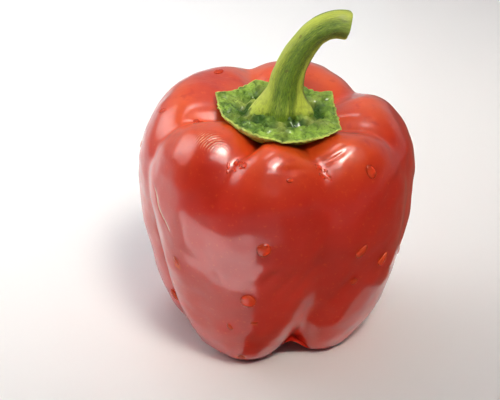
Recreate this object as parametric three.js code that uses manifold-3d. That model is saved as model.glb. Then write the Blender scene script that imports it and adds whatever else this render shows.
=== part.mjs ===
// A bell pepper as picked: the lobed fruit, its star-shaped calyx and its curved, cut stem.
// Millimetres, +Z up. The origin is on the surface that the fruit rests on, below the middle of its box.
import * as THREE from "three";
import { mergeVertices } from "three/addons/utils/BufferGeometryUtils.js";
import Module from "manifold-3d";

const wasm = await Module();
wasm.setup();

// Fruit
const FRUIT_RADIUS = 45; // the outline at its widest, on the shoulders
const FRUIT_HEIGHT = 84; // the resting surface to the ring of the crown
const FOOT_RADIUS = 29; // ring on which the lobes rest
const FOOT_FLAT = 3; // how far the outline is drawn below the surface that flattens the feet
const HEEL_RADIUS = 9; // the dimple at the blossom end
const HEEL_HOLLOW = 7;
const CROWN_RADIUS = 25.5; // ring of the lobes' tops
const BASIN_RADIUS = 12.5; // the floor that the calyx sits over
const BASIN_DEPTH = 4.5;
const GIRTH = -0.115; // the front is this share slimmer than the side, and the back fuller
const AXIS_DRIFT = new THREE.Vector2(1.5, -4.3); // where the axis has moved to at the basin

// Each furrow's azimuth is in degrees at the foot, waist and shoulder, 0 at the front and 90 at +X.
// Its depth is in millimetres at the heel, foot, waist, flank and shoulder.
const FURROWS = [
  { azimuth: [3, 31, 24], width: 15, depth: [11, 9, 2, 6, 8] },
  { azimuth: [66, 82, 68], width: 12, depth: [0, 1.5, 2.5, 2, 6.5] },
  { azimuth: [113, 148, 120], width: 16, depth: [4, 4.5, 7, 6, 7.5] },
  { azimuth: [-155, -173, -157], width: 10, depth: [6, 5, 4, 2.5, 6.5] },
  { azimuth: [-50, -85, -82], width: 10, depth: [4, 10.5, 4.5, 2, 7] },
  { azimuth: [-46, -35, -17], width: 10, depth: [0, 0.5, 0.5, 2.5, 7.5] },
];
const FURROW_ROUNDING = 0.35; // how blunt a furrow's bottom is, in furrow widths

// Calyx
const CALYX_OFFSET = new THREE.Vector2(0.2, -3.7); // its middle, from the fruit's axis
const CALYX_TILT = 2.5; // degrees, its front lower
const CALYX_RADIUS = 20.5;
const CALYX_EDGE = 1.2; // thickness at the rim
const CALYX_RISE = 1.1; // its top above the average of the crown below its rim
const HUB_RADIUS = 9; // the thick middle that reaches down into the basin
const HUB_DEPTH = 6;
const DRAPE = 0.8; // how softly it lifts over a high lobe
const SEAT_GAP = 0.3; // between touching pieces

// The star's tips: azimuth, reach as a share of the calyx's radius, how far each curls up, and how far
// the edge on to the next tip bows out of a straight line.
const TIPS = [
  { azimuth: -159, reach: 1.02, curl: 0.3, bow: -0.8 },
  { azimuth: -112, reach: 0.99, curl: 1.4, bow: 0.3 },
  { azimuth: -66, reach: 0.82, curl: 0.2, bow: 1.6 },
  { azimuth: 2, reach: 0.97, curl: 0, bow: 1.2 },
  { azimuth: 62, reach: 1.01, curl: 0.2, bow: 0 },
  { azimuth: 124, reach: 0.94, curl: 1.4, bow: -1 },
  { azimuth: 163, reach: 0.93, curl: 0.5, bow: -1 },
];
const TIP_WIDTH = 9; // degrees either side of a tip that curl with it

// Stem
const STEM_RADIUS = 6.1; // above the flare
const STEM_TAPER = 0.28; // share of the radius lost by the bend
const KNEE_SWELL = 0.3; // the end swells again by this much
const FLARE_RADIUS = 10.4; // foot of the stem, where it spreads over the calyx
const FLARE_HEIGHT = 6;
const RIBS = 5;
const RIB_DEPTH = 0.04; // share of the radius
// The middle line of the stem above the calyx: sideways, back and up from the calyx's middle.
const STEM_LINE = [
  [0, 0, 0],
  [0.7, 0, 3],
  [1.4, 0.2, 7.5],
  [2.1, 0.5, 12],
  [3.3, 0.9, 16],
  [5.1, 1.3, 19.5],
  [7.3, 1.7, 22.9],
  [10, 2, 26],
  [13.2, 2.3, 28],
  [16.6, 2.5, 28.8],
  [20, 2.6, 28],
];

// Fineness of the meshes
const FRUIT_COLUMNS = 76;
const FRUIT_ROWS = 40;
const CALYX_COLUMNS = 56;
const CALYX_ROWS = 6;
const STEM_COLUMNS = 20;
const STEM_ROWS = 26;
const MERGE = 1e-4;

const { clamp, degToRad, radToDeg, lerp } = THREE.MathUtils;

// A smooth curve through a few values, spread evenly over 0 to 1 (a cubic B-spline).
function blend(values, share) {
  const last = values.length - 1;
  const at = (i) => {
    if (i < 0) return 2 * values[0] - values[1];
    if (i > last) return 2 * values[last] - values[last - 1];
    return values[i];
  };
  const place = clamp(share, 0, 1) * last;
  const i = Math.min(Math.floor(place), last - 1);
  const t = place - i;
  const a = (1 - t) ** 3;
  const b = 3 * t ** 3 - 6 * t ** 2 + 4;
  const c = -3 * t ** 3 + 3 * t ** 2 + 3 * t + 1;
  return (a * at(i - 1) + b * at(i) + c * at(i + 1) + t ** 3 * at(i + 2)) / 6;
}

// The signed angle from one azimuth to another, in degrees.
function turn(from, to) {
  return THREE.MathUtils.euclideanModulo(to - from + 180, 360) - 180;
}

// A closed skin: a half circle turned about the axis, with each of its points then moved to
// place(azimuth in radians, row). Row 0 is the lower pole.
function skin(columns, rows, place) {
  const half = [];
  for (let row = 0; row <= rows; row++) {
    const angle = (Math.PI * row) / rows;
    half.push(new THREE.Vector2(Math.sin(angle), -Math.cos(angle)));
  }
  const lathe = new THREE.LatheGeometry(half, columns);
  const position = lathe.getAttribute("position");
  for (let i = 0; i < position.count; i++) {
    const column = Math.floor(i / (rows + 1)) % columns;
    const point = place((2 * Math.PI * column) / columns, i % (rows + 1));
    position.setXYZ(i, point.x, point.y, point.z);
  }
  lathe.deleteAttribute("normal");
  lathe.deleteAttribute("uv");
  const merged = mergeVertices(lathe, MERGE);
  const kept = [];
  for (let i = 0; i < merged.index.count; i += 3) {
    const [a, b, c] = [0, 1, 2].map((k) => merged.index.getX(i + k));
    if (a !== b && b !== c && c !== a) kept.push(a, b, c);
  }
  merged.setIndex(kept);
  return merged;
}

function solidOf(geometry) {
  const vertProperties = new Float32Array(geometry.getAttribute("position").array);
  const triVerts = new Uint32Array(geometry.index.array);
  return new wasm.Manifold(new wasm.Mesh({ numProp: 3, vertProperties, triVerts }));
}

function geometryOf(solid) {
  const { vertProperties, triVerts } = solid.getMesh();
  const geometry = new THREE.BufferGeometry();
  geometry.setAttribute("position", new THREE.BufferAttribute(vertProperties, 3));
  geometry.setIndex(new THREE.BufferAttribute(triVerts, 1));
  return geometry;
}

function mesh(name, geometry, color, roughness) {
  geometry.computeVertexNormals();
  const material = new THREE.MeshStandardMaterial({ color, roughness, metalness: 0 });
  const made = new THREE.Mesh(geometry, material);
  made.name = name;
  return made;
}

// ---- Fruit ----

// Half of the outline, from the heel up to the middle of the basin.
const OUTLINE = [
  [0, HEEL_HOLLOW],
  [HEEL_RADIUS, HEEL_HOLLOW],
  [FOOT_RADIUS * 0.76, -FOOT_FLAT / 2],
  [FOOT_RADIUS, -FOOT_FLAT],
  [FRUIT_RADIUS * 0.87, FRUIT_HEIGHT * 0.18],
  [FRUIT_RADIUS * 0.97, FRUIT_HEIGHT * 0.5],
  [FRUIT_RADIUS, FRUIT_HEIGHT * 0.67],
  [FRUIT_RADIUS * 0.92, FRUIT_HEIGHT * 0.84],
  [FRUIT_RADIUS * 0.77, FRUIT_HEIGHT * 0.96],
  [CROWN_RADIUS, FRUIT_HEIGHT],
  [BASIN_RADIUS, FRUIT_HEIGHT - BASIN_DEPTH],
  [0, FRUIT_HEIGHT - BASIN_DEPTH],
];
const OUTLINE_RADII = OUTLINE.map(([radius]) => radius);
const OUTLINE_HEIGHTS = OUTLINE.map(([, height]) => height);

// How deep all the furrows together cut at one azimuth and share of the outline.
function furrowDepth(azimuth, share) {
  return FURROWS.reduce((sum, furrow) => {
    const away = turn(blend(furrow.azimuth, share), radToDeg(azimuth)) / furrow.width;
    const fade = Math.exp(FURROW_ROUNDING - Math.hypot(away, FURROW_ROUNDING));
    return sum + fade * blend([0, ...furrow.depth, 0], share);
  }, 0);
}

// A point of the fruit's surface, grown outwards by a margin.
function fruitPoint(azimuth, share, margin) {
  const step = 1e-3;
  const slopeRadius = blend(OUTLINE_RADII, share + step) - blend(OUTLINE_RADII, share - step);
  const slopeHeight = blend(OUTLINE_HEIGHTS, share + step) - blend(OUTLINE_HEIGHTS, share - step);
  const outward = new THREE.Vector2(slopeHeight, -slopeRadius).normalize();
  const grown = margin - furrowDepth(azimuth, share);
  const height = blend(OUTLINE_HEIGHTS, share);
  const girth = 1 + GIRTH * Math.cos(azimuth);
  const radius = blend(OUTLINE_RADII, share) * girth + grown * outward.x;
  const drift = height / (FRUIT_HEIGHT - BASIN_DEPTH);
  return new THREE.Vector3(
    radius * Math.sin(azimuth) + AXIS_DRIFT.x * drift,
    -radius * Math.cos(azimuth) + AXIS_DRIFT.y * drift,
    Math.max(height + grown * outward.y, -margin),
  );
}

function fruitSkin(margin) {
  const place = (azimuth, row) => fruitPoint(azimuth, row / FRUIT_ROWS, margin);
  return skin(FRUIT_COLUMNS, FRUIT_ROWS, place);
}

const fruit = mesh("fruit", fruitSkin(0), 0xb32a1c, 0.25);

// ---- Calyx ----

const calyxMiddle = AXIS_DRIFT.clone().add(CALYX_OFFSET);
const tiltSlope = Math.tan(degToRad(CALYX_TILT));
const down = new THREE.Vector3(0, 0, -1);
const above = new THREE.Raycaster();

// Height of the fruit's top under a point.
function crownBelow(x, y) {
  above.set(new THREE.Vector3(x, y, 2 * FRUIT_HEIGHT), down);
  return above.intersectObject(fruit)[0].point.z;
}

// Radius of the star at an azimuth in degrees, and how much it curls up there.
function starAt(azimuth) {
  const next = TIPS.findIndex((tip, i) => {
    const before = TIPS.at(i - 1);
    return turn(before.azimuth, azimuth) >= 0 && turn(azimuth, tip.azimuth) > 0;
  });
  const [a, b] = [TIPS.at(next - 1), TIPS[next]];
  const span = degToRad(turn(a.azimuth, b.azimuth));
  const gone = degToRad(turn(a.azimuth, azimuth));
  const reach =
    (a.reach * b.reach * Math.sin(span)) /
    (a.reach * Math.sin(gone) + b.reach * Math.sin(span - gone));
  const bow = a.bow * Math.sin((Math.PI * gone) / span);
  const curlBy = (tip) => tip.curl * Math.exp(-((turn(tip.azimuth, azimuth) / TIP_WIDTH) ** 2));
  return { radius: CALYX_RADIUS * reach + bow, curl: curlBy(a) + curlBy(b) };
}

const rimSamples = Array.from({ length: 36 }, (_, i) => (i * Math.PI) / 18);
const crownHeights = rimSamples.map((azimuth) => {
  const { radius } = starAt(radToDeg(azimuth));
  const x = calyxMiddle.x + radius * Math.sin(azimuth);
  const y = calyxMiddle.y - radius * Math.cos(azimuth);
  return crownBelow(x, y);
});
const crownAverage = crownHeights.reduce((a, b) => a + b) / crownHeights.length;
const calyxHeight = crownAverage + CALYX_RISE + CALYX_EDGE;

// Height of the calyx's top at a point, with the curl of its tips: a tilted plane that lifts softly
// where a lobe is higher.
function calyxTop(x, y, curl) {
  const plane = calyxHeight + tiltSlope * (y - calyxMiddle.y);
  const clear = crownBelow(x, y) + SEAT_GAP + CALYX_EDGE;
  return (plane + clear + Math.hypot(plane - clear, DRAPE)) / 2 + curl;
}

// Rows 0 to CALYX_ROWS are the underside, from its middle to the rim, and the others the top.
function calyxPoint(azimuth, row) {
  const { radius, curl } = starAt(radToDeg(azimuth));
  const onTop = row > CALYX_ROWS;
  const share = (onTop ? 2 * CALYX_ROWS + 1 - row : row) / CALYX_ROWS;
  const out = radius * Math.sqrt(share);
  const x = calyxMiddle.x + out * Math.sin(azimuth);
  const y = calyxMiddle.y - out * Math.cos(azimuth);
  const top = calyxTop(x, y, curl * share ** 3);
  const hub = HUB_DEPTH * clamp(2 - out / HUB_RADIUS, 0, 1);
  return new THREE.Vector3(x, y, onTop ? top : top - CALYX_EDGE - hub);
}

const calyxSolid = solidOf(skin(CALYX_COLUMNS, 2 * CALYX_ROWS + 1, calyxPoint));
const seatedCalyx = calyxSolid.subtract(solidOf(fruitSkin(SEAT_GAP)));
const calyx = mesh("calyx", geometryOf(seatedCalyx), 0x4f7d2c, 0.55);

// ---- Stem ----

// Height that leaves the seat gap over the calyx at a point.
function seatOnCalyx(x, y) {
  above.set(new THREE.Vector3(x, y, 2 * FRUIT_HEIGHT), down);
  return above.intersectObject(calyx)[0].point.z + SEAT_GAP;
}

const footHeight = seatOnCalyx(calyxMiddle.x, calyxMiddle.y);
const stemFoot = new THREE.Vector3(calyxMiddle.x, calyxMiddle.y, footHeight);
const stemLine = new THREE.CatmullRomCurve3(
  STEM_LINE.map(([x, y, z]) => new THREE.Vector3(x, y, z).add(stemFoot)),
);
const stemLength = stemLine.getLength();
const up = new THREE.Vector3(0, 0, 1);
const backwards = new THREE.Vector3(0, 1, 0);

// Row 0 is the middle of the foot and the last row the middle of the cut end. The rows between are
// rings up the side.
function stemPoint(azimuth, row) {
  const share = clamp((row - 1) / (STEM_ROWS - 2), 0, 1) ** 1.3;
  const flare = Math.exp((-2 * share * stemLength) / FLARE_HEIGHT);
  const taper = 1 - STEM_TAPER * clamp(share / 0.7, 0, 1);
  const slim = STEM_RADIUS * taper + KNEE_SWELL * clamp(share / 0.15 - 5.6, 0, 1);
  const ribbed = 1 + RIB_DEPTH * (1 + flare) * Math.cos(RIBS * azimuth);
  const inMiddle = row === 0 || row === STEM_ROWS;
  const out = inMiddle ? 0 : lerp(slim, FLARE_RADIUS, flare) * ribbed;
  const along = stemLine.getTangentAt(share).lerp(up, flare).normalize();
  const right = new THREE.Vector3().crossVectors(backwards, along).normalize();
  const back = new THREE.Vector3().crossVectors(along, right);
  const point = stemLine.getPointAt(share);
  point.addScaledVector(right, out * Math.sin(azimuth));
  point.addScaledVector(back, -out * Math.cos(azimuth));
  if (row < 2) point.z = seatOnCalyx(point.x, point.y);
  return point;
}

const stem = mesh("stem", skin(STEM_COLUMNS, STEM_ROWS, stemPoint), 0x7f9a35, 0.5);

// ---- The whole pepper, with the middle of its box over the origin ----

const pepper = new THREE.Group();
pepper.add(fruit, calyx, stem);
const middle = new THREE.Box3().setFromObject(pepper).getCenter(new THREE.Vector3());
pepper.position.set(-middle.x, -middle.y, 0);

export default pepper;
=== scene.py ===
import math
import random

import bmesh
import bpy
import numpy as np
from bpy.props import FloatProperty, FloatVectorProperty, PointerProperty
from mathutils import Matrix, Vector, noise
from mathutils.bvhtree import BVHTree


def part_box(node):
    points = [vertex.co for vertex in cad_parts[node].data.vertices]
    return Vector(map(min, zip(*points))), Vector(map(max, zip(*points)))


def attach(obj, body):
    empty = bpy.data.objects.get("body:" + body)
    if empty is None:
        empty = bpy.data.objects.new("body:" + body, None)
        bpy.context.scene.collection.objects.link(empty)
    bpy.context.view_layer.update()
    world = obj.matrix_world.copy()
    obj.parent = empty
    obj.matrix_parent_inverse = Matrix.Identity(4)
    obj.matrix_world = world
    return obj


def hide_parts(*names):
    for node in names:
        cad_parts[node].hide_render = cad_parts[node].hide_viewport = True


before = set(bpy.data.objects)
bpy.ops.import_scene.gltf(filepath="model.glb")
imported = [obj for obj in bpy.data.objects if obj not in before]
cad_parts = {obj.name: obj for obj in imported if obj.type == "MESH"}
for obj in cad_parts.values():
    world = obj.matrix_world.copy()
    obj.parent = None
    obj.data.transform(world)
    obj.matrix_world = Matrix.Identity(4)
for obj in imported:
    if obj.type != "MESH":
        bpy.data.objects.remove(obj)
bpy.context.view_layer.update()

bl_info = {
    "name": "Bell pepper",
    "version": (1, 0, 0),
    "blender": (4, 5, 0),
    "location": "3D View > Sidebar > Pepper",
    "description": "A wet bell pepper, as picked, on a pale floor",
    "category": "Add Mesh",
}

MM = 0.001  # the shapes below are worked out in millimetres

# Fruit: half of its outline from the heel up to the middle of the basin, as radius and height.
FRUIT_RADIUS = 45
FRUIT_HEIGHT = 84
FOOT_RADIUS = 29
FOOT_FLAT = 3
CROWN_HEIGHT = FRUIT_HEIGHT - 4.5
OUTLINE = np.array([
    (0, 7),
    (9, 7),
    (FOOT_RADIUS * 0.76, -FOOT_FLAT / 2),
    (FOOT_RADIUS, -FOOT_FLAT),
    (FRUIT_RADIUS * 0.87, FRUIT_HEIGHT * 0.18),
    (FRUIT_RADIUS * 0.97, FRUIT_HEIGHT * 0.5),
    (FRUIT_RADIUS, FRUIT_HEIGHT * 0.67),
    (FRUIT_RADIUS * 0.92, FRUIT_HEIGHT * 0.84),
    (FRUIT_RADIUS * 0.77, FRUIT_HEIGHT * 0.96),
    (25.5, FRUIT_HEIGHT),
    (12.5, CROWN_HEIGHT),
    (0, CROWN_HEIGHT),
])
GIRTH = -0.115  # the front is this share slimmer than the side, and the back fuller
AXIS_DRIFT = (1.5, -4.3)  # where the axis has moved to at the basin

# Each furrow's azimuth in degrees at the foot, waist and shoulder, 0 at the front and 90 at +X, its
# width in degrees, and its depth at the heel, foot, waist, flank and shoulder.
FURROWS = (
    {"azimuth": (3, 31, 24), "width": 15, "depth": (11, 9, 2, 6, 8)},
    {"azimuth": (66, 82, 68), "width": 12, "depth": (0, 1.5, 2.5, 2, 6.5)},
    {"azimuth": (113, 148, 120), "width": 16, "depth": (4, 4.5, 7, 6, 7.5)},
    {"azimuth": (-155, -173, -157), "width": 10, "depth": (6, 5, 4, 2.5, 6.5)},
    {"azimuth": (-50, -85, -82), "width": 10, "depth": (4, 10.5, 4.5, 2, 7)},
    {"azimuth": (-46, -35, -17), "width": 10, "depth": (0, 0.5, 0.5, 2.5, 7.5)},
)
FURROW_ROUNDING = 0.35
DEEP_FURROW = 8
FOOT_SOFTNESS = 0.8
OUTLINE_LENGTH = 150  # about how far it is along the outline, from the heel to the basin
WAVES_START = 4  # the height from which the skin's unevenness is at its full strength
# Shares of the outline: the blossom scar's edge, the foot's end, and the shoulder's start and depth.
HEEL_SHARE = 0.045
FOOT_SHARE = 0.34
SHOULDER_START = 0.6
SHOULDER_FADE = 0.16

# Shallow dents in the skin: azimuth, share of the outline, half length, half width, lean, depth.
DENTS = (
    (-2, 0.470, 4.0, 1.3, 62, 0.35),
    (5, 0.452, 5.0, 1.2, 58, 0.35),
    (12, 0.440, 4.0, 1.2, 60, 0.30),
    (9, 0.715, 4.5, 1.5, 85, 0.35),
    (38, 0.742, 4.0, 1.5, 75, 0.45),
    (36, 0.420, 5.0, 1.6, 50, 0.35),
    (-22, 0.372, 4.0, 1.0, 80, 0.25),
    (88, 0.500, 9.0, 2.0, 12, 0.50),
    (165, 0.560, 7.0, 2.2, 70, 0.45),
    (-120, 0.470, 8.0, 2.0, 30, 0.45),
    (-140, 0.640, 5.0, 1.8, 75, 0.40),
)
# A healed crack in the left furrow: azimuth and share of its two ends, how many degrees it wanders to
# either side and how quickly, its half width and its depth.
CRACK = ((-70, 0.585), (-52.5, 0.508))
CRACK_WANDER = 1.2
CRACK_WAVES = 9
CRACK_WIDTH = 0.75
CRACK_DEPTH = 0.35
# Corky rings on the left shoulder: azimuth, share, half width and half height of their patch, then the
# azimuth and share of the middle of the rings.
WRINKLES = (-45, 0.76, 6.5, 5.5)
RING_MIDDLE = (-36, 0.735)
RING_PITCH = 0.8

# Calyx: the offset of its middle from the basin's, its tilt towards the front in degrees, its edge's
# thickness, how high its middle rides over the lobes, the hub under it, how softly it drapes over the
# lobes, and its gap to them.
CALYX_OFFSET = (0.2, -3.7)
CALYX_MIDDLE = (AXIS_DRIFT[0] + CALYX_OFFSET[0], AXIS_DRIFT[1] + CALYX_OFFSET[1])
CALYX_TILT = 2.5
CALYX_RADIUS = 20.5
CALYX_EDGE = 1.2
CALYX_RISE = 1.1
HUB_RADIUS = 9
HUB_DEPTH = 6
DRAPE = 0.6
SEAT_GAP = 0.3
EDGE_ROWS = 0.05  # the share of the shell's rows, above and below the middle one, that make its edge
RIM_STEP = 10  # degrees between the places where the rim feels for the lobes
RIM_BRIDGE = 2  # how many such places to either side a lobe lifts
RIDGE_HEIGHT = 0.7
# In from the edge: the pale rim, and the widths over which the bumps rise and the sheet thickens.
RIM_WIDTH = 0.7
BUMPS_RISE = 2.5
EDGE_THINNING = 3
INNER_REACH = 8  # how far out from the stem's foot the darker green reaches
# Rings of relief round the stem's foot: how far out from the foot each lies, its half width and its height.
COLLAR = (-0.2, 1.1, 1.0)
MOAT = (2.6, 1.1, -1.1)
MOUND = (5.2, 1.6, 0.7)
# The star's tips: azimuth, reach, how far each curls up, and how far the edge on to the next bows out.
TIPS = (
    (-159, 1.02, 0.3, -0.8),
    (-112, 1.03, 1.4, 0.3),
    (-66, 0.88, 0.2, 1.3),
    (2, 0.97, 0.0, 1.2),
    (62, 1.01, 0.2, 0.0),
    (124, 0.94, 1.4, -1.0),
    (163, 0.93, 0.5, -1.0),
)
TIP_WIDTH = 9

# Stem
STEM_RADIUS = 6.1
STEM_TAPER = 0.34  # the share by which it gets slimmer up to its slimmest place
SLIMMEST = 0.75  # the share of its length at which that is
KNEE_START = 0.84  # from here it swells again
KNEE_LENGTH = 0.15
KNEE_SWELL = 0.3
FLARE_RADIUS = 9.3
FLARE_HEIGHT = 9.6
FOOT_NARROWING_FRONT = 0.32
FOOT_NARROWING_BACK = 0.2
HEM_TUCK = 0.9  # how far the foot's hem is tucked in, and over what height
FOOT_SINK = 0.4
RIBS = 5
RIB_DEPTH = 0.045
FLARE_RIBS = 2.6  # how much deeper the ribs get on the flare
KNOT_HEIGHT = 0.12
CUT_HOLLOW = 0.5
FOOT_ROWS = 0.06  # shares of the shell's rows that make the foot's underside and the cut
CUT_ROWS = 0.1
STEM_LINE = np.array([
    (0, 0, 0),
    (0.7, 0, 3),
    (1.4, 0.2, 7.5),
    (2.1, 0.5, 12),
    (3.3, 0.9, 16),
    (5.1, 1.3, 19.5),
    (7.3, 1.7, 22.9),
    (10, 2, 26),
    (13.2, 2.3, 28),
    (16.6, 2.5, 28.8),
    (20, 2.6, 28),
])
# The stem's paler stripes: azimuth, width in degrees and strength.
STRIPES = ((-74, 38, 1.0), (55, 16, 0.9), (-14, 6, 0.25), (14, 5, 0.3), (150, 22, 0.8), (-155, 20, 0.7))
# The paler bulges of its foot, and its brownish line, in the same way.
FOOT_STRIPES = ((-75, 34, 1.0), (55, 30, 0.9), (0, 18, 0.3), (160, 30, 0.8))
RUSSET_STRIPES = ((86, 9, 1.0),)
# How far from its ends the paler knee and the greener foot reach.
KNEE_PALE = 4
FOOT_GREEN = 2.6

# Drops: azimuth, share of the outline, width, length, lean in degrees and how much heavier the low end is.
DROPS = (
    (-5.5, 0.531, 4.7, 4.4, 70, 0.05),
    (-12.5, 0.427, 4.9, 5.2, 0, 0.1),
    (-48.5, 0.459, 2.9, 5.0, 28, 0.35),
    (-82, 0.339, 3.0, 5.0, 20, 0.3),
    (-55, 0.415, 1.3, 1.7, 0, 0),
    (51, 0.659, 3.0, 4.5, 12, 0.3),
    (42, 0.489, 2.7, 5.2, -35, 0.25),
    (57, 0.452, 3.0, 5.0, -35, 0.3),
    (-138.5, 0.806, 4.2, 2.4, 5, 0),
    (-98.5, 0.703, 1.6, 3.8, -30, 0.1),
    (-10, 0.389, 2.3, 1.0, 8, 0),
    (-23, 0.377, 1.6, 3.0, 20, 0.2),
    (41.5, 0.432, 1.8, 2.6, -30, 0.1),
    (6, 0.683, 2.2, 1.4, 0, 0),
    (-20, 0.305, 3.4, 4.6, 0, 0.35),
    (120, 0.520, 3.6, 4.4, 10, 0.2),
    (165, 0.610, 3.0, 3.4, 0, 0.1),
    (-160, 0.450, 3.2, 4.8, -12, 0.3),
    (-110, 0.560, 2.6, 3.6, 15, 0.2),
    (95, 0.400, 2.4, 3.4, -10, 0.2),
)
BIG_DROP = 2.4  # drops wider than this stand up, and the others lie flatter
# Wet patches of fine droplets: azimuth, share, half width, half height and count. They lie about
# SHOULDER_RADIUS from the axis.
SHOULDER_RADIUS = 30
WET_PATCHES = ((-25, 0.716, 2.6, 4.0, 12), (27.5, 0.704, 2.0, 4.5, 11), (-82, 0.815, 5.0, 1.0, 8))

# Camera: millimetres of lens and sensor, degrees it looks down, metres from the middle of the fruit, and
# how many millimetres its aim lies from there.
LENS = 123.3
SENSOR = 36
ELEVATION = 32
DISTANCE = 0.54
AIM_OFFSET = (-7.35, 1.6, 2.6)

# Stage: what the softboxes in front face, and the size and place of the dark cards.
CROWN = (0, 0.03, 0.08)
CARDS = (
    ((0.3, 0.62, 1), (0.2, 0.1, 0.002)),
    ((0.09, 0.08, 1), (0.035, -0.07, 0.0055)),
)


def paint(red, green, blue):
    """A colour of 0 to 255 numbers, as Blender's linear ones."""
    shares = (red / 255, green / 255, blue / 255)
    return tuple(((share + 0.055) / 1.055) ** 2.4 if share > 0.04 else share / 12.92 for share in shares)


def colour(name, description, default):
    return FloatVectorProperty(
        name=name, description=description, default=default, size=3, min=0, max=1, subtype="COLOR"
    )


def share_of(name, description, default):
    return FloatProperty(name=name, description=description, default=default, min=0, max=1, subtype="FACTOR")


def size_of(name, description, default):
    return FloatProperty(name=name, description=description, default=default, min=0, subtype="DISTANCE")


class PepperFruitSettings(bpy.types.PropertyGroup):
    skin: colour("Skin", "Colour of the ripe skin", paint(216, 44, 18))
    # The deep red is the skin's own darker tone in patches, and painted shade in the furrows.
    deep: colour("Deep skin", "Colour of the darker patches and of the furrows", paint(192, 34, 15))
    shoulder: colour("Shoulder", "More orange colour round the calyx", paint(238, 98, 32))
    # Painted shade: the skin under each drop is darkened towards this colour.
    drop_painted_shade: colour("Shade", "Colour of the skin under the upper side of a drop", paint(140, 20, 8))
    cork: colour("Cork", "Colour of healed skin: the crack, the corky rings and the blossom scar",
                 paint(238, 178, 140))
    roughness: share_of("Roughness", "Roughness of the skin under its wax", 0.3)
    wax: share_of("Wax", "Strength of the clear wax on the skin", 0.9)
    waves: size_of("Waves", "Height of the soft unevenness of the skin", 0.42 * MM)


class PepperCalyxSettings(bpy.types.PropertyGroup):
    green: colour("Green", "Colour of the calyx", paint(168, 204, 82))
    # The calyx's own darker green, also used as painted shade in the pits between its bumps.
    dark_and_pit_shade: colour("Dark green", "Colour of its pits and hollows", paint(58, 98, 24))
    # Painted shade for the hollow round the stem's foot.
    hollow_shade: colour("Hollow", "Colour of the hollow round the stem", paint(36, 72, 14))
    rim: colour("Rim", "Colour of its thin edge", paint(206, 218, 108))
    bumps: size_of("Bumps", "Height of its pitted bumps", 0.9 * MM)


class PepperStemSettings(bpy.types.PropertyGroup):
    green: colour("Green", "Colour between the stripes", paint(124, 158, 34))
    streak: colour("Streaks", "Colour of the darkest lines along it", paint(54, 86, 20))
    pale: colour("Pale stripes", "Colour of the stripes along the ribs", paint(216, 230, 84))
    brown: colour("Flecks", "Colour of the flecks and of the cut's rim", paint(104, 80, 40))
    pith: colour("Pith", "Colour of the cut end", paint(206, 212, 150))
    grain: size_of("Grain", "Depth of the fine lines along it", 0.06 * MM)


class PepperWaterSettings(bpy.types.PropertyGroup):
    # Painted light: the drops carry the red of the skin seen through them, instead of being clear.
    painted_red_light: colour("Tint", "Colour of the light that a drop gathers from the skin", paint(252, 104, 60))
    height: share_of("Height", "Height of a drop as a share of its width", 0.26)
    film: share_of("Film", "Height of a fine droplet as a share of its width", 0.14)
    sink: size_of("Sink", "How far a drop's underside reaches into the skin", 0.12 * MM)


class PepperStageSettings(bpy.types.PropertyGroup):
    floor: colour("Floor", "Colour of the floor", (0.82, 0.82, 0.83))
    dim: colour("Dim room", "Colour of the room in front of the pepper", (0.07, 0.07, 0.075))
    pale: colour("Pale room", "Colour of the room behind and above the pepper", (0.75, 0.76, 0.78))
    key: FloatProperty(
        name="Key", description="Power of the warm softbox high in front", default=0.245, subtype="POWER"
    )


# ---- Shapes ----


def blend(values, share):
    """A smooth curve through a few values, spread evenly over 0 to 1 (a cubic B-spline)."""
    values = np.asarray(values, float)
    before = 2 * values[0] - values[1]
    after = 2 * values[-1] - values[-2]
    padded = np.array([before, *values, after])
    last = len(values) - 1
    place = np.clip(share, 0, 1) * last
    i = np.minimum(place.astype(int), last - 1)
    t = place - i
    if values.ndim > 1:
        t = t[:, None]
    a = (1 - t) ** 3
    b = 3 * t ** 3 - 6 * t ** 2 + 4
    c = -3 * t ** 3 + 3 * t ** 2 + 3 * t + 1
    return (a * padded[i] + b * padded[i + 1] + c * padded[i + 2] + t ** 3 * padded[i + 3]) / 6


def turn(start, end):
    """The signed angle from one azimuth to another, in degrees."""
    return np.mod(end - start + 180, 360) - 180


def unit(vectors):
    """The same directions, each one long."""
    return vectors / np.linalg.norm(vectors, axis=1)[:, None]


def wrapped(azimuth, share, around, upward):
    """Places for noise that closes round a piece, so far from its axis and so far up its length."""
    angle = np.radians(azimuth)
    return np.stack([np.sin(angle) * around, np.cos(angle) * around, share * upward], 1)


def striped(azimuth, stripes):
    """Soft lengthwise stripes, added up, from each one's azimuth, width in degrees and strength."""
    total = np.zeros_like(azimuth)
    for middle, width, strength in stripes:
        total += strength * np.exp(-(turn(middle, azimuth) / width) ** 2)
    return total


def furrow_depth(azimuth, share):
    """How deep all the furrows together cut at an azimuth and share of the outline."""
    total = np.zeros_like(azimuth)
    for furrow in FURROWS:
        away = turn(blend(furrow["azimuth"], share), azimuth) / furrow["width"]
        fade = np.exp(FURROW_ROUNDING - np.hypot(away, FURROW_ROUNDING))
        total += fade * blend((0, *furrow["depth"], 0), share)
    return total


def fruit_surface(azimuth, share, grown=0.0):
    """Points of the fruit's surface, grown outwards, from its own axis."""
    step = 1e-3
    slope = blend(OUTLINE, share + step) - blend(OUTLINE, share - step)
    outward = unit(np.stack([slope[:, 1], -slope[:, 0]], 1))
    rise = grown - furrow_depth(azimuth, share)
    radius, height = blend(OUTLINE, share).T
    angle = np.radians(azimuth)
    out = radius * (1 + GIRTH * np.cos(angle)) + rise * outward[:, 0]
    drift = height / CROWN_HEIGHT
    level = height + rise * outward[:, 1]
    level = (level + np.hypot(level, FOOT_SOFTNESS)) / 2
    return np.stack([
        out * np.sin(angle) + AXIS_DRIFT[0] * drift,
        -out * np.cos(angle) + AXIS_DRIFT[1] * drift,
        level,
    ], 1)


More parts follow.
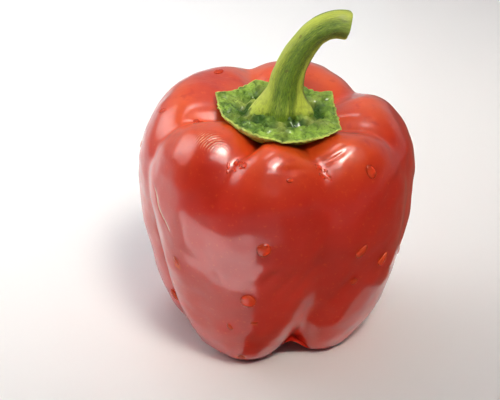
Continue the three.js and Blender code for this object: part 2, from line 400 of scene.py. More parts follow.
def axis_place():
    """Where the fruit's own axis meets the floor, from the box of the fruit in the frame."""
    azimuth, share = (grid.ravel() for grid in np.meshgrid(np.arange(0.0, 360, 2), np.linspace(0, 1, 120)))
    points = fruit_surface(azimuth, share)
    low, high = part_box("fruit")
    middle = (np.array(low) + np.array(high)) / 2 / MM
    place = middle - (points.min(0) + points.max(0)) / 2
    return np.array([place[0], place[1], 0])


AXIS_PLACE = axis_place()


def new_sphere(columns, rows):
    """A fine sphere, made by cutting each side of a coarse one in four."""
    shell = bmesh.new()
    bmesh.ops.create_uvsphere(shell, u_segments=columns // 4, v_segments=rows // 4, radius=1)
    bmesh.ops.subdivide_edges(shell, edges=shell.edges[:], cuts=3, use_grid_fill=True)
    return shell


def directions(shell):
    """The azimuth in degrees and the way up, from 0 at the lower pole to 1, of a sphere's vertices."""
    at = np.array([vertex.co.normalized() for vertex in shell.verts])
    azimuth = np.degrees(np.arctan2(at[:, 0], -at[:, 1]))
    return azimuth, np.arccos(np.clip(-at[:, 2], -1, 1)) / math.pi


def move(vertices, points):
    """Moves vertices to points in millimetres from the fruit's axis."""
    for vertex, point in zip(vertices, (points + AXIS_PLACE) * MM):
        vertex.co = point


def finish_piece(name, shell, masks, node, material):
    """Makes the object, with its masks as attributes of its points."""
    shape = bpy.data.meshes.new(name)
    shell.to_mesh(shape)
    shell.free()
    shape.shade_smooth()
    for mask_name, values in masks.items():
        kind, field = ("FLOAT_VECTOR", "vector") if values.ndim > 1 else ("FLOAT", "value")
        attribute = shape.attributes.new(mask_name, kind, "POINT")
        attribute.data.foreach_set(field, values.astype(np.float32).ravel())
    piece = bpy.data.objects.new(name, shape)
    bpy.context.scene.collection.objects.link(piece)
    shape.materials.append(material)
    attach(piece, "root")
    if node:
        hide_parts(node)
    return piece


def unevenness(points, size):
    """Soft noise between about -1 and 1 at each point, with bumps of that size."""
    return np.array([noise.noise(Vector(point) / size) for point in points]) * 2


def spot(azimuth, share, middle, half_sizes, lean=0.0):
    """Soft mask of an oval on the fruit's skin: 1 in its middle, e-fold at its edge."""
    across = np.radians(turn(middle[0], azimuth)) * blend(OUTLINE[:, 0], share)
    along = (share - middle[1]) * OUTLINE_LENGTH
    lean = math.radians(lean)
    u = across * math.cos(lean) - along * math.sin(lean)
    v = across * math.sin(lean) + along * math.cos(lean)
    return np.exp(-(u / half_sizes[0]) ** 2 - (v / half_sizes[1]) ** 2)


def crack_mask(azimuth, share):
    """1 along the crack, which tapers to its ends."""
    (start_azimuth, start_share), (end_azimuth, end_share) = CRACK
    gone = (start_share - share) / (start_share - end_share)
    line = start_azimuth + (end_azimuth - start_azimuth) * gone + CRACK_WANDER * np.sin(gone * CRACK_WAVES)
    across = np.radians(turn(line, azimuth)) * FRUIT_RADIUS
    inside = np.clip(4 * gone * (1 - gone), 0, 1)
    return inside ** 0.5 * np.exp(-(across / CRACK_WIDTH) ** 2)


def metric(azimuth, share):
    """Millimetres along the skin for one degree round it, and for one hundredth of the outline up it."""
    here = np.array([float(azimuth)])
    there = np.array([float(share)])
    around = np.linalg.norm(fruit_surface(here + 1, there) - fruit_surface(here - 1, there)) / 2
    upward = np.linalg.norm(fruit_surface(here, there + 0.01) - fruit_surface(here, there - 0.01)) / 2
    return around, upward


def drop_masks(azimuth, share):
    """1 where the skin is under a drop, where its wax is hidden and painted shade is laid, and there, how
    far towards the drop's lower end, for a painted glow.
    """
    wet = np.zeros_like(azimuth)
    painted_glow = np.zeros_like(azimuth)
    for drop_azimuth, drop_share, width, length, lean, _ in DROPS:
        around, upward = metric(drop_azimuth, drop_share)
        u = turn(drop_azimuth, azimuth) * around
        v = (share - drop_share) * 100 * upward
        turned = math.radians(lean)
        across = (u * math.cos(turned) + v * math.sin(turned)) / width * 2
        along = (v * math.cos(turned) - u * math.sin(turned)) / length * 2
        # Full up to four fifths of the way out, and gone a little past the drop's edge.
        under = np.clip(4 - 3.7 * np.hypot(across, along), 0, 1)
        wet = np.maximum(wet, under)
        painted_glow = np.maximum(painted_glow, under * np.clip(0.5 - 0.6 * along, 0, 1))
    return wet, painted_glow


def make_fruit(settings):
    """The lobed skin, with its soft waves, its dents and the crack."""
    shell = new_sphere(columns=360, rows=232)
    azimuth, share = directions(shell)
    points = fruit_surface(azimuth, share)
    # The middle one is stretched along the fruit, so that its waves run down from the shoulder.
    waves = unevenness(points, size=15)
    waves += 0.8 * unevenness(wrapped(azimuth, share, around=3.2, upward=2), size=0.9)
    waves += 0.3 * unevenness(points, size=5)
    grown = waves * settings.waves / MM * np.sin(share * math.pi) ** 0.5
    for dent_azimuth, dent_share, length, width, lean, depth in DENTS:
        grown -= depth * spot(azimuth, share, (dent_azimuth, dent_share), (width, length), lean)
    crack = crack_mask(azimuth, share)
    grown -= CRACK_DEPTH * crack
    above_feet = np.clip(points[:, 2] / WAVES_START, 0, 1)
    move(shell.verts, fruit_surface(azimuth, share, grown * above_feet))
    ring_middle = fruit_surface(*(np.array([float(value)]) for value in RING_MIDDLE))
    wet, painted_glow = drop_masks(azimuth, share)
    masks = {
        "furrow": np.clip(furrow_depth(azimuth, share) / DEEP_FURROW, 0, 1),
        "shoulder": np.clip((share - SHOULDER_START) / SHOULDER_FADE, 0, 1),
        "crack": crack,
        "wrinkle": spot(azimuth, share, WRINKLES[:2], WRINKLES[2:]),
        "rings": np.linalg.norm(points - ring_middle, axis=1) / RING_PITCH,
        "wet": wet,
        "painted_glow": painted_glow,
        "heel": np.exp(-(share / HEEL_SHARE) ** 4),
        "foot": np.clip(1 - share / FOOT_SHARE, 0, 1),
    }
    return finish_piece("pepper_skin", shell, masks, "fruit", skin_material(settings))


def height_below(tree, x, y):
    """Height of the surface under a point, in millimetres from the fruit's axis."""
    start = Vector(((x + AXIS_PLACE[0]) * MM, (y + AXIS_PLACE[1]) * MM, 0.2))
    hit = tree.ray_cast(start, Vector((0, 0, -1)))[0]
    return hit.z / MM


def tree_of(piece):
    """A piece's faces, ready to cast rays at."""
    return BVHTree.FromObject(piece, bpy.context.evaluated_depsgraph_get())


def star(azimuth):
    """The calyx's radius, the curl of its tips, and how close to a tip each azimuth is."""
    radius = np.zeros_like(azimuth)
    curl = np.zeros_like(azimuth)
    near = np.zeros_like(azimuth)
    for start, end in zip(TIPS, TIPS[1:] + TIPS[:1]):
        span = math.radians(turn(start[0], end[0]))
        gone = np.radians(turn(start[0], azimuth))
        here = (gone >= 0) & (gone < span)
        straight = start[1] * end[1] * math.sin(span)
        straight = straight / (start[1] * np.sin(gone) + end[1] * np.sin(span - gone))
        ragged = 0.3 * np.sin(gone * 31) * np.sin(gone * 12) + 0.15 * np.sin(gone * 57)
        bow = (start[3] + ragged) * np.sin(math.pi * gone / span)
        radius = np.where(here, CALYX_RADIUS * straight + bow, radius)
        close = np.exp(-(turn(start[0], azimuth) / TIP_WIDTH) ** 2)
        curl += start[2] * close
        near += close
    return radius, curl, near


def around_calyx(tree, angle, out):
    """Places at an angle and a distance from the calyx's middle: x, y and the height of the fruit there."""
    x = CALYX_MIDDLE[0] + out * np.sin(angle)
    y = CALYX_MIDDLE[1] - out * np.cos(angle)
    return x, y, np.array([height_below(tree, *place) for place in zip(x, y)])


def calyx_seat(tree, tilt):
    """The level of the calyx's middle, and how far the lobes lift its rim, at azimuths round it."""
    azimuths = np.arange(0.0, 360, RIM_STEP)
    radii = star(azimuths)[0]
    _, y, crown = around_calyx(tree, np.radians(azimuths), radii)
    level = crown.mean() + CALYX_RISE + CALYX_EDGE
    # The rim is stiff: it bridges the furrows between the lobes that lift it.
    lift = crown + SEAT_GAP + CALYX_EDGE - level - tilt * (y - CALYX_MIDDLE[1])
    shifts = range(-RIM_BRIDGE, RIM_BRIDGE + 1)
    lift = np.max([np.roll(lift, shift) for shift in shifts], axis=0)
    lift = np.mean([np.roll(lift, shift) for shift in shifts], axis=0)
    return level, azimuths, lift


def foot_ring(from_foot, ring):
    """Soft mask of a ring round the stem's foot."""
    place, half_width, _ = ring
    return np.exp(-((from_foot - place) / half_width) ** 2)


def make_calyx(settings, fruit):
    """The green star: a sheet draped over the lobes, with a bumpy top and a hub below."""
    shell = new_sphere(columns=360, rows=96)
    azimuth, way = directions(shell)
    tree = tree_of(fruit)
    tilt = math.tan(math.radians(CALYX_TILT))
    level, rim_azimuths, rim_lift = calyx_seat(tree, tilt)
    radius, curl, near = star(azimuth)
    # From the middle of the underside round the edge to the middle of the top.
    past = (way - 0.5) / EDGE_ROWS
    on_edge = np.abs(past) < 1
    bulge = np.cos(np.clip(past, -1, 1) * math.pi / 2)
    flat_share = np.clip((0.5 - np.abs(way - 0.5)) / (0.5 - EDGE_ROWS), 0, 1)
    edge = CALYX_EDGE / 2
    out = np.where(on_edge, radius - edge + edge * bulge, (radius - edge) * flat_share)
    side = np.where(on_edge, np.sin(np.clip(past, -1, 1) * math.pi / 2), np.sign(past))
    angle = np.radians(azimuth)
    x, y, below = around_calyx(tree, angle, out)
    reach = out / radius
    plane = level + tilt * (y - CALYX_MIDDLE[1])
    plane += np.clip(np.interp(azimuth, rim_azimuths, rim_lift, period=360), 0, None) * reach ** 2
    clear = below + SEAT_GAP + CALYX_EDGE
    top = (plane + clear + np.hypot(plane - clear, DRAPE)) / 2 + curl * reach ** 6
    # Below, a hub reaches down towards the basin, and the sheet thins to half towards its edge.
    hub = HUB_DEPTH * np.clip(2 - out / HUB_RADIUS, 0, 1)
    thick = CALYX_EDGE * (1 - 0.5 * np.clip(1 - (radius - out) / EDGE_THINNING, 0, 1))
    under = np.maximum(top - thick - hub, below + SEAT_GAP)
    # The relief of its top: pitted bumps, ridges out to the tips, and the rings round the stem's foot.
    ground = np.stack([x, y, np.zeros_like(x)], 1)
    blobs = np.clip(2.2 * np.abs(unevenness(ground, size=3.0)), 0, 1.2) ** 0.6
    bumps = blobs - 0.6 + 0.35 * unevenness(ground + 40, size=1.2)
    ridge = near * np.clip(1.2 - reach, 0, 1)
    from_foot = out - FLARE_RADIUS * (1 - foot_narrowing(angle))
    moat = foot_ring(from_foot, MOAT) * (0.75 + 0.6 * unevenness(ground + 70, size=2.5))
    mound = foot_ring(from_foot, MOUND) * (1 + np.cos(angle)) / 2
    collar = foot_ring(from_foot, COLLAR) * (0.4 + blobs)
    relief = bumps * settings.bumps / MM + RIDGE_HEIGHT * ridge
    relief += MOAT[2] * moat + MOUND[2] * mound + COLLAR[2] * collar
    relief *= np.clip((radius - out) / BUMPS_RISE, 0, 1)
    height = (top + under) / 2 + side * (top - under) / 2 + np.where(side > 0.5, relief, 0)
    move(shell.verts, np.stack([x, y, height], 1))
    masks = {
        "rim": np.exp(-((radius - out) / RIM_WIDTH) ** 2),
        "ridge": ridge,
        "pit": np.clip(0.35 - bumps * 0.9, 0, 1),
        "tip": near * reach ** 4,
        "moat": np.clip(moat, 0, 1),
        "inner": np.clip(1.2 - from_foot / INNER_REACH, 0, 1),
    }
    return finish_piece("calyx_star", shell, masks, "calyx", calyx_material(settings))


def foot_narrowing(angle):
    """The share by which the stem's foot is slimmer towards the front and back than to the sides."""
    most = np.where(np.cos(angle) > 0, FOOT_NARROWING_FRONT, FOOT_NARROWING_BACK)
    return most * np.cos(angle) ** 2


def make_stem(settings, calyx):
    """The curved stem: ribbed, flared where it stands on the calyx, and cut at the knee."""
    shell = new_sphere(columns=160, rows=240)
    azimuth, way = directions(shell)
    tree = tree_of(calyx)
    foot = height_below(tree, *CALYX_MIDDLE)
    line = STEM_LINE + np.array([CALYX_MIDDLE[0], CALYX_MIDDLE[1], foot])
    fine = np.linspace(0, 1, 400)
    steps = np.linalg.norm(np.diff(blend(line, fine), axis=0), axis=1)
    gone = np.concatenate([[0], np.cumsum(steps)])
    length = gone[-1]

    def centre(share):
        return blend(line, np.interp(share * length, gone, fine))

    # The rows crowd towards the foot, where the shape changes most.
    share = np.clip((way - FOOT_ROWS) / (1 - FOOT_ROWS - CUT_ROWS), 0, 1) ** 1.3
    from_end = (1 - share) * length
    above = np.clip(1 - share * length / FLARE_HEIGHT, 0, 1)
    flare = above ** 2 * (3 - 2 * above)
    taper = 1 - STEM_TAPER * np.sin(np.clip(share / SLIMMEST, 0, 1) * math.pi / 2)
    slim = STEM_RADIUS * taper + KNEE_SWELL * np.clip((share - KNEE_START) / KNEE_LENGTH, 0, 1)
    angle = np.radians(azimuth)
    ribbed = 1 + RIB_DEPTH * (1 + FLARE_RIBS * flare) * np.cos(RIBS * angle)
    grain = wrapped(azimuth, share, around=1, upward=0.5)
    lines = unevenness(grain * 9, size=1) + 0.7 * unevenness(grain * 22, size=1)
    knots = unevenness(wrapped(azimuth, share, around=1.3, upward=7.8), size=1)
    foot_radius = FLARE_RADIUS * (1 - foot_narrowing(angle)) + 0.5 * unevenness(grain * 2.5, size=1)
    out = (slim + (foot_radius - slim) * flare) * ribbed
    out += lines * settings.grain / MM + KNOT_HEIGHT * knots - HEM_TUCK * np.exp(-share * length / HEM_TUCK)
    out *= 1 - 0.06 * np.exp(-from_end / 0.35)  # the cut's rounded rim
    in_foot = np.clip(way / FOOT_ROWS, 0, 1)
    in_cut = np.clip((1 - way) / CUT_ROWS, 0, 1)
    on_cut = way > 1 - CUT_ROWS
    step = 1e-3
    along = unit(centre(np.clip(share + step, 0, 1)) - centre(np.clip(share - step, 0, 1)))
    # The flare's rows lie level, whichever way the line sets out.
    along = unit(along * (1 - flare[:, None]) + np.array([0, 0, 1]) * flare[:, None])
    right = unit(np.cross(np.array([0.0, 1, 0]), along))
    back = np.cross(along, right)
    out = out * in_foot * in_cut
    points = centre(share) + right * (out * np.sin(angle))[:, None] - back * (out * np.cos(angle))[:, None]
    points -= along * (CUT_HOLLOW * np.where(on_cut, 1 - in_cut ** 2, 0))[:, None]
    seated = way <= FOOT_ROWS + 1e-6
    for i in np.flatnonzero(seated):
        points[i, 2] = height_below(tree, points[i, 0], points[i, 1]) - FOOT_SINK
    move(shell.verts, points)
    above_foot = np.clip((flare - flare ** 6) * 1.6, 0, 1)
    pale = striped(azimuth, STRIPES) + above_foot * striped(azimuth, FOOT_STRIPES)
    masks = {
        "pale": np.clip(pale * (1 - flare ** 8), 0, 1),
        "russet": striped(azimuth, RUSSET_STRIPES) * (1 - flare),
        "knee": np.clip(1 - from_end / KNEE_PALE, 0, 1),
        "cut": np.where(on_cut, 1 - in_cut, 0),
        "fibre": wrapped(azimuth, share, around=1, upward=0.9),
        "foot": np.exp(-share * length / FOOT_GREEN),
    }
    return finish_piece("cut_stem", shell, masks, "stem", stem_material(settings))


def add_drop(shell, settings, drop, columns, rows):
    """A flat dome of water that follows the skin, with its underside a little inside it."""
    azimuth, share, width, length, lean, heavy = drop
    height = settings.height if width > BIG_DROP else settings.film
    made = bmesh.ops.create_uvsphere(shell, u_segments=columns, v_segments=rows, radius=1)["verts"]
    at = np.array([vertex.co for vertex in made])
    around, upward = metric(azimuth, share)
    turned = math.radians(lean)
    across = at[:, 0] * width / 2 * (1 - heavy * at[:, 1])
    along = at[:, 1] * length / 2
    u = across * math.cos(turned) - along * math.sin(turned)
    v = across * math.sin(turned) + along * math.cos(turned)
    dome = np.clip(at[:, 2], 0, 1) ** 0.85 * min(width, length) * height * (1 - 0.4 * heavy * at[:, 1])
    grown = np.where(at[:, 2] > 0, dome, settings.sink / MM * at[:, 2])
    move(made, fruit_surface(azimuth + u / around, share + v / upward * 0.01, grown))


def make_water(settings):
    """All the drops and fine droplets, as one piece."""
    shell = bmesh.new()
    for drop in DROPS:
        add_drop(shell, settings, drop, columns=32, rows=20)
    chance = random.Random(7)
    for azimuth, share, half_width, half_height, count in WET_PATCHES:
        for _ in range(count):
            width = chance.uniform(0.6, 1.3)
            drop = (
                azimuth + math.degrees(chance.gauss(0, 0.5) * half_width / SHOULDER_RADIUS),
                share + chance.gauss(0, 0.5) * half_height / OUTLINE_LENGTH,
                width,
                width * chance.uniform(1.2, 2.8),
                chance.uniform(10, 60),
                0.1,
            )
            add_drop(shell, settings, drop, columns=12, rows=8)
    return finish_piece("water_drops", shell, {}, None, water_material(settings))


# ---- Materials ----


class Wire:
    """A node's output. Arithmetic on wires adds the Math nodes that work it out."""

    def __init__(self, nodes, socket):
        self.nodes = nodes
        self.socket = socket

    def math(self, operation, first, second):
        return self.nodes.add("Math", {"operation": operation}, {0: first, 1: second})

    def __add__(self, other):
        return self.math("ADD", self, other)

    def __radd__(self, other):
        return self.math("ADD", other, self)

    def __sub__(self, other):
        return self.math("SUBTRACT", self, other)

    def __rsub__(self, other):
        return self.math("SUBTRACT", other, self)

    def __mul__(self, other):
        return self.math("MULTIPLY", self, other)

    def __rmul__(self, other):
        return self.math("MULTIPLY", other, self)


class Nodes:
    """The nodes of one material or world."""

    def __init__(self, owner):
        self.owner = owner
        owner.use_nodes = True
        self.tree = owner.node_tree
        self.tree.nodes.clear()

    def add(self, kind, settings, inputs, output=0):
        """A node of a type, its settings, and the values or links of its sockets."""
        node = self.tree.nodes.new("ShaderNode" + kind)
        for name, value in settings.items():
            setattr(node, name, value)
        for name, value in inputs.items():
            if isinstance(value, Wire):
                self.tree.links.new(value.socket, node.inputs[name])
            else:
                node.inputs[name].default_value = value
        return Wire(self, node.outputs[output]) if node.outputs else None

    def mask(self, name):
        return self.add("Attribute", {"attribute_name": name, "attribute_type": "GEOMETRY"}, {}, "Fac")

    def vector(self, name):
        return self.add("Attribute", {"attribute_name": name, "attribute_type": "GEOMETRY"}, {}, "Vector")

    def place(self):
        return self.add("TexCoord", {}, {}, "Object")

    def noise(self, where, scale, detail, roughness=0.5):
        inputs = {"Vector": where, "Scale": scale, "Detail": detail, "Roughness": roughness}
        return self.add("TexNoise", {}, inputs, "Fac")

    def ramp(self, value, low, high):
        """0 up to low, 1 from high on."""
        inputs = {"Value": value, "From Min": low, "From Max": high}
        return self.add("MapRange", {"interpolation_type": "SMOOTHSTEP"}, inputs)

    def mix(self, share, first, second):
        """A colour between two."""
        inputs = {0: share, 6: solid(first), 7: solid(second)}
        return self.add("Mix", {"data_type": "RGBA"}, inputs, 2)

    def bump(self, height, distance, normal=None):
        inputs = {"Height": height, "Distance": distance, "Strength": 1.0}
        if normal:
            inputs["Normal"] = normal
        return self.add("Bump", {}, inputs)

    def finish(self, inputs):
        """The Principled shader with those inputs, on the material's output."""
        shader = self.add("BsdfPrincipled", {}, inputs)
        self.add("OutputMaterial", {}, {"Surface": shader})
        return self.owner


def solid(value):
    return value if isinstance(value, Wire) else (*value, 1)


def skin_material(settings):
    """Ripe red skin under clear wax, with corky marks, painted shade in the furrows and under the drops, and
    a painted glow low in each drop.
    """
    nodes = Nodes(bpy.data.materials.new("ripe_skin"))
    place = nodes.place()
    cloud = nodes.noise(place, scale=45, detail=4)
    speckle = nodes.noise(place, scale=900, detail=2)
    shoulder = nodes.mask("shoulder")
    bright = nodes.ramp(cloud, 0.2, 0.8)
    red = nodes.mix(bright, settings.deep, settings.skin)
    red = nodes.mix(shoulder * bright * 0.85, red, settings.shoulder)
    # Painted shade: the furrows are darkened towards the deep red.
    red = nodes.mix(nodes.ramp(nodes.mask("furrow"), 0.45, 1.0) * 0.5, red, settings.deep)
    red = nodes.mix(nodes.ramp(speckle, 0.6, 0.75) * 0.25, red, settings.shoulder)
    blotch = nodes.noise(place, scale=300, detail=3)
    red = nodes.mix(nodes.ramp(blotch, 0.55, 0.75) * shoulder * 0.5, red, settings.deep)
    wobble = nodes.noise(place, scale=500, detail=2)
    turns = nodes.mask("rings") + wobble * 1.2
    rings = nodes.add("Math", {"operation": "SINE"}, {0: turns * math.tau})
    lines = nodes.ramp(rings, 0.1, 0.9) * nodes.ramp(nodes.mask("wrinkle"), 0.3, 0.8)
    cork = lines * nodes.ramp(wobble, 0.3, 0.6)
    red = nodes.mix(cork * 0.85, red, settings.cork)
    red = nodes.mix(nodes.ramp(nodes.mask("crack"), 0.25, 0.7), red, settings.cork)
    red = nodes.mix(nodes.ramp(nodes.mask("heel"), 0.3, 0.8), red, settings.cork)
    wet = nodes.mask("wet")
    # Painted shade: the skin under each drop is darkened.
    red = nodes.mix(wet * 0.8, red, settings.drop_painted_shade)
    # Painted light: the lower end of each drop's footprint is lit in the shoulder's orange, as if the drop
    # gathered light there.
    red = nodes.mix(nodes.mask("painted_glow"), red, settings.shoulder)
    fine = nodes.noise(place, scale=260, detail=3)
    relief = nodes.bump(fine * (1 + 1.6 * shoulder), 0.06 * MM)
    relief = nodes.bump(nodes.noise(place, scale=620, detail=3) * shoulder, 0.05 * MM, relief)
    relief = nodes.bump(nodes.noise(place, scale=70, detail=2), 0.35 * MM, relief)
    relief = nodes.bump(lines, 0.05 * MM, relief)
    # The wax is thinner on the corky marks and round the feet, and hidden by the drops.
    wax = settings.wax - 0.5 * cork - wet - 0.8 * nodes.mask("foot")
    return nodes.finish({
        "Base Color": red,
        "Roughness": settings.roughness + 0.1 * cloud + 0.3 * cork,
        "IOR": 1.45,
        "Specular IOR Level": 0.35,
        "Subsurface Weight": 0.08,
        "Subsurface Radius": (1.0, 0.15, 0.08),
        "Subsurface Scale": 2 * MM,
        "Coat Weight": wax,
        "Coat Roughness": 0.15,
        "Coat IOR": 1.5,
        "Normal": relief,
    })


def calyx_material(settings):
    """Leathery green with painted shade in its pits and in the hollow round the stem, pale ridges and a pale
    thin edge.
    """
    nodes = Nodes(bpy.data.materials.new("calyx_leather"))
    place = nodes.place()
    cloud = nodes.noise(place, scale=220, detail=4)
    patch = nodes.noise(place, scale=130, detail=3)
    green = nodes.mix(nodes.ramp(cloud, 0.3, 0.6), settings.dark_and_pit_shade, settings.green)
    green = nodes.mix(nodes.mask("inner") * nodes.ramp(patch, 0.22, 0.52), green, settings.dark_and_pit_shade)
    # Painted shade: the pits between the bumps are darkened.
    green = nodes.mix(nodes.ramp(nodes.mask("pit"), 0.4, 0.95) * 0.7, green, settings.dark_and_pit_shade)
    # Painted shade: the moat round the stem's foot is darkened.
    green = nodes.mix(nodes.mask("moat") * 0.8, green, settings.hollow_shade)
    green = nodes.mix(nodes.mask("ridge") * 0.7, green, settings.rim)
    green = nodes.mix(nodes.mask("tip") * 0.5, green, settings.dark_and_pit_shade)
    green = nodes.mix(nodes.ramp(nodes.mask("rim"), 0.35, 0.85) * 0.85, green, settings.rim)
    pebble_inputs = {"Vector": place, "Scale": 950.0, "Smoothness": 0.6}
    pebbles = nodes.add("TexVoronoi", {"feature": "SMOOTH_F1"}, pebble_inputs, "Distance")
    relief = nodes.bump(1 - pebbles, 0.55 * MM)
    relief = nodes.bump(nodes.noise(place, scale=420, detail=3), 0.3 * MM, relief)
    return nodes.finish({
        "Base Color": green,
        "Roughness": 0.42 + 0.25 * cloud,
        "Specular IOR Level": 0.2,
        "Coat Weight": nodes.ramp(nodes.noise(place, scale=330, detail=2), 0.55, 0.62),
        "Coat Roughness": 0.08,
        "Normal": relief,
    })


def stem_material(settings):
    """Green stalk with pale stripes, fine lines and flecks, and a pale cut end."""
    nodes = Nodes(bpy.data.materials.new("stem_fibre"))
    place = nodes.place()
    fibre = nodes.vector("fibre")
    lines = nodes.noise(fibre, scale=26, detail=4, roughness=0.6)
    fine = nodes.noise(fibre, scale=70, detail=3, roughness=0.6)
    fleck = nodes.noise(place, scale=420, detail=2)
    pale = nodes.mask("pale") * (0.55 + 0.6 * lines) + nodes.ramp(lines, 0.5, 0.75) * 0.35
    green = nodes.mix(nodes.ramp(lines, 0.28, 0.54), settings.streak, settings.green)
    green = nodes.mix(nodes.ramp(pale, 0.1, 1.0), green, settings.pale)
    green = nodes.mix(nodes.ramp(fine, 0.55, 0.8) * 0.35, green, settings.pale)
    green = nodes.mix(nodes.ramp(fleck, 0.66, 0.74) * 0.45, green, settings.brown)
    green = nodes.mix(nodes.mask("knee") * 0.3, green, settings.pale)
    green = nodes.mix(nodes.mask("russet") * 0.6, green, settings.brown)
    cut = nodes.mask("cut")
    green = nodes.mix(nodes.ramp(cut, 0.02, 0.1) * 0.8, green, settings.brown)
    green = nodes.mix(nodes.ramp(cut, 0.12, 0.3), green, settings.pith)
    grit = nodes.noise(place, scale=650, detail=3)
    foot = nodes.mask("foot")
    green = nodes.mix(nodes.ramp(foot * (0.5 + grit), 0.15, 0.8) * 0.85, green, settings.green)
    green = nodes.mix(foot * nodes.ramp(grit, 0.5, 0.62), green, settings.streak)
    relief = nodes.bump(fine, 0.14 * MM)
    relief = nodes.bump(lines, 0.3 * MM, relief)
    relief = nodes.bump(grit * foot, 1.2 * MM, relief)
    return nodes.finish({
        "Base Color": green,
        "Roughness": 0.34 + 0.25 * lines,
        "Coat Weight": 0.2,
        "Coat Roughness": 0.18,
        "Normal": relief,
    })


def water_material(settings):
    """Water coloured with the skin's red, as painted light from the skin seen through it."""
    nodes = Nodes(bpy.data.materials.new("water_painted_red"))
    return nodes.finish({
        # Painted light: the drop's own colour stands in for the skin's red seen through it.
        "Base Color": (*settings.painted_red_light, 1),
        "Roughness": 0.0,
        "IOR": 1.33,
        "Transmission Weight": 0.65,
    })


def floor_material(settings):
    """Plain pale floor with a faint mottle."""
    nodes = Nodes(bpy.data.materials.new("pale_floor"))
    mottle = nodes.noise(nodes.place(), scale=6, detail=2)
    dimmer = tuple(channel * 0.97 for channel in settings.floor)
    colour_wire = nodes.mix(mottle, settings.floor, dimmer)
    return nodes.finish({"Base Color": colour_wire, "Roughness": 0.6})


# ---- Stage ----


def add_softbox(name, place, aim, size, power, spread=180, tone=(1, 1, 1), only_shine=False):
    """An oval lamp that the camera doesn't see, and that may only make highlights."""
    light = bpy.data.lights.new(name, "AREA")
    light.color = tone
    light.shape = "ELLIPSE"
    light.size, light.size_y = size
    light.energy = power
    light.spread = math.radians(spread)
    lamp = bpy.data.objects.new(name, light)
    lamp.location = place
    lamp.rotation_euler = (Vector(aim) - Vector(place)).to_track_quat("-Z", "Y").to_euler()
    lamp.visible_camera = False
    lamp.visible_diffuse = not only_shine
    bpy.context.scene.collection.objects.link(lamp)


def add_camera():
    """Looks down at the pepper's front from arm's length."""
    camera = bpy.data.cameras.new("camera")
    camera.lens = LENS
    camera.sensor_width = SENSOR
    holder = bpy.data.objects.new("camera", camera)
    waist = Vector(AXIS_PLACE * MM) + Vector((0, 0, FRUIT_HEIGHT * MM / 2))
    elevation = math.radians(ELEVATION)
    holder.location = waist + DISTANCE * Vector((0, -math.cos(elevation), math.sin(elevation)))
    aim = waist + Vector(AIM_OFFSET) * MM
    holder.rotation_euler = (aim - holder.location).to_track_quat("-Z", "Y").to_euler()
    bpy.context.scene.collection.objects.link(holder)
    bpy.context.scene.camera = holder


def make_floor(settings):
    """The plain floor that the pepper stands on."""
    shell = bmesh.new()
    bmesh.ops.create_grid(shell, x_segments=2, y_segments=2, size=3)
    shape = bpy.data.meshes.new("floor")
    shell.to_mesh(shape)
    shell.free()
    shape.materials.append(floor_material(settings))
    floor = bpy.data.objects.new("floor", shape)
    bpy.context.scene.collection.objects.link(floor)


def make_flag():
    """Dark cards on the floor, to the right and close in front, which keep those sides deep red.

    Only reflections see them."""
    shell = bmesh.new()
    for size, place in CARDS:
        card = bmesh.ops.create_grid(shell, x_segments=1, y_segments=1, size=0.5)["verts"]
        bmesh.ops.scale(shell, vec=size, verts=card)
        bmesh.ops.translate(shell, vec=place, verts=card)
    shape = bpy.data.meshes.new("flag")
    shell.to_mesh(shape)
    shell.free()
    nodes = Nodes(bpy.data.materials.new("dark_card"))
    shape.materials.append(nodes.finish({"Base Color": (0.3, 0.08, 0.05, 1), "Roughness": 0.9}))
    flag = bpy.data.objects.new("flag", shape)
    flag.visible_camera = False
    flag.visible_diffuse = False
    flag.visible_shadow = False
    flag.visible_transmission = False
    bpy.context.scene.collection.objects.link(flag)


def make_surround(settings):
    """A room that is pale overhead and behind the pepper, and dim in front of it."""
    room = bpy.data.worlds.new("room")
    nodes = Nodes(room)
    direction = nodes.add("TexCoord", {}, {}, "Generated")
    behind = nodes.add("SeparateXYZ", {}, {"Vector": direction}, "Y")
    overhead = nodes.add("SeparateXYZ", {}, {"Vector": direction}, "Z")
    pale = nodes.ramp(behind, 0.1, 0.9) * 0.5 + nodes.ramp(overhead, 0.4, 1.0) * 0.4
    tone = nodes.mix(pale, settings.dim, settings.pale)
    light = nodes.add("Background", {}, {"Color": tone, "Strength": 1.0})
    nodes.add("OutputWorld", {}, {"Surface": light})
    bpy.context.scene.world = room


# ---- Add-on ----


class PEPPER_OT_add_fruit(bpy.types.Operator):
    """Add the lobed red fruit"""

    bl_idname = "pepper.add_fruit"
    bl_label = "Fruit"

    def execute(self, context):
        make_fruit(context.scene.pepper_fruit)
        return {"FINISHED"}


class PEPPER_OT_add_calyx(bpy.types.Operator):
    """Add the green star that sits on the fruit"""

    bl_idname = "pepper.add_calyx"
    bl_label = "Calyx"

    def execute(self, context):
        make_calyx(context.scene.pepper_calyx, bpy.data.objects["pepper_skin"])
        return {"FINISHED"}


class PEPPER_OT_add_stem(bpy.types.Operator):
    """Add the curved, cut stem"""

    bl_idname = "pepper.add_stem"
    bl_label = "Stem"

    def execute(self, context):
        make_stem(context.scene.pepper_stem, bpy.data.objects["calyx_star"])
        return {"FINISHED"}


class PEPPER_OT_add_water(bpy.types.Operator):
    """Add the drops of water on the fruit"""

    bl_idname = "pepper.add_water"
    bl_label = "Water drops"

    def execute(self, context):
        make_water(context.scene.pepper_water)
        return {"FINISHED"}


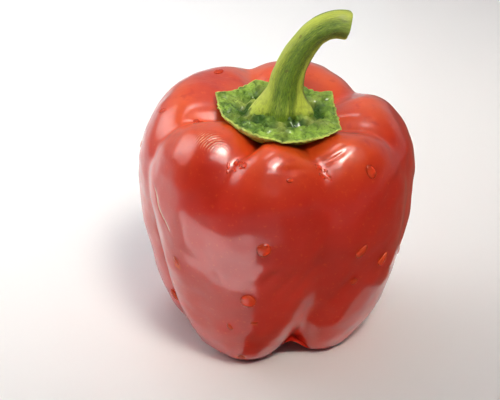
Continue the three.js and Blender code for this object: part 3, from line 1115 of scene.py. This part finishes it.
class PEPPER_OT_add_stage(bpy.types.Operator):
    """Add the floor, the lights and the camera"""

    bl_idname = "pepper.add_stage"
    bl_label = "Stage"

    def execute(self, context):
        settings = context.scene.pepper_stage
        make_floor(settings)
        make_surround(settings)
        warm = (1, 0.93, 0.82)
        add_softbox("key", (0.15, -0.27, 0.6), CROWN, (0.5, 0.3), settings.key, spread=24, tone=warm)
        add_softbox("high_shine", (0.1, -0.22, 0.64), CROWN, (0.46, 0.36), power=2.0, only_shine=True)
        add_softbox("low_shine", (0.05, -0.44, 0.5), CROWN, (0.34, 0.12), power=0.55, only_shine=True)
        add_softbox("overhead", (-0.2, 0.24, 0.62), (-0.2, 0.24, 0), (0.45, 0.45), power=0.45, spread=50)
        add_softbox("left", (-0.7, 0.25, 0.4), (0, 0.02, 0.05), (0.9, 0.7), power=0.65, spread=60)
        # Lies on its back in front of the fruit, for the sheen low on its left.
        place = (-0.1, -0.0965, 0.004)
        add_softbox("sheen", place, (*place[:2], 1), (0.25, 0.103), power=0.115, only_shine=True)
        make_flag()
        add_camera()
        context.scene.view_settings.view_transform = "Standard"
        return {"FINISHED"}


class PEPPER_PT_panel(bpy.types.Panel):
    """The pepper's pieces and their sizes and colours"""

    bl_label = "Bell pepper"
    bl_idname = "PEPPER_PT_panel"
    bl_space_type = "VIEW_3D"
    bl_region_type = "UI"
    bl_category = "Pepper"

    def draw(self, context):
        for operator, group in STEPS:
            box = self.layout.box()
            box.operator(operator.bl_idname)
            settings = getattr(context.scene, group)
            for name in settings.bl_rna.properties.keys():
                if name not in ("rna_type", "name"):
                    box.prop(settings, name)


STEPS = (
    (PEPPER_OT_add_fruit, "pepper_fruit"),
    (PEPPER_OT_add_calyx, "pepper_calyx"),
    (PEPPER_OT_add_stem, "pepper_stem"),
    (PEPPER_OT_add_water, "pepper_water"),
    (PEPPER_OT_add_stage, "pepper_stage"),
)
GROUPS = {
    "pepper_fruit": PepperFruitSettings,
    "pepper_calyx": PepperCalyxSettings,
    "pepper_stem": PepperStemSettings,
    "pepper_water": PepperWaterSettings,
    "pepper_stage": PepperStageSettings,
}


def register():
    for name, group in GROUPS.items():
        bpy.utils.register_class(group)
        setattr(bpy.types.Scene, name, PointerProperty(type=group))
    for operator, _ in STEPS:
        bpy.utils.register_class(operator)
    bpy.utils.register_class(PEPPER_PT_panel)


def unregister():
    bpy.utils.unregister_class(PEPPER_PT_panel)
    for operator, _ in reversed(STEPS):
        bpy.utils.unregister_class(operator)
    for name, group in GROUPS.items():
        delattr(bpy.types.Scene, name)
        bpy.utils.unregister_class(group)


def main():
    register()
    bpy.ops.pepper.add_fruit()
    bpy.ops.pepper.add_calyx()
    bpy.ops.pepper.add_stem()
    bpy.ops.pepper.add_water()
    bpy.ops.pepper.add_stage()


if __name__ == "__main__":
    main()
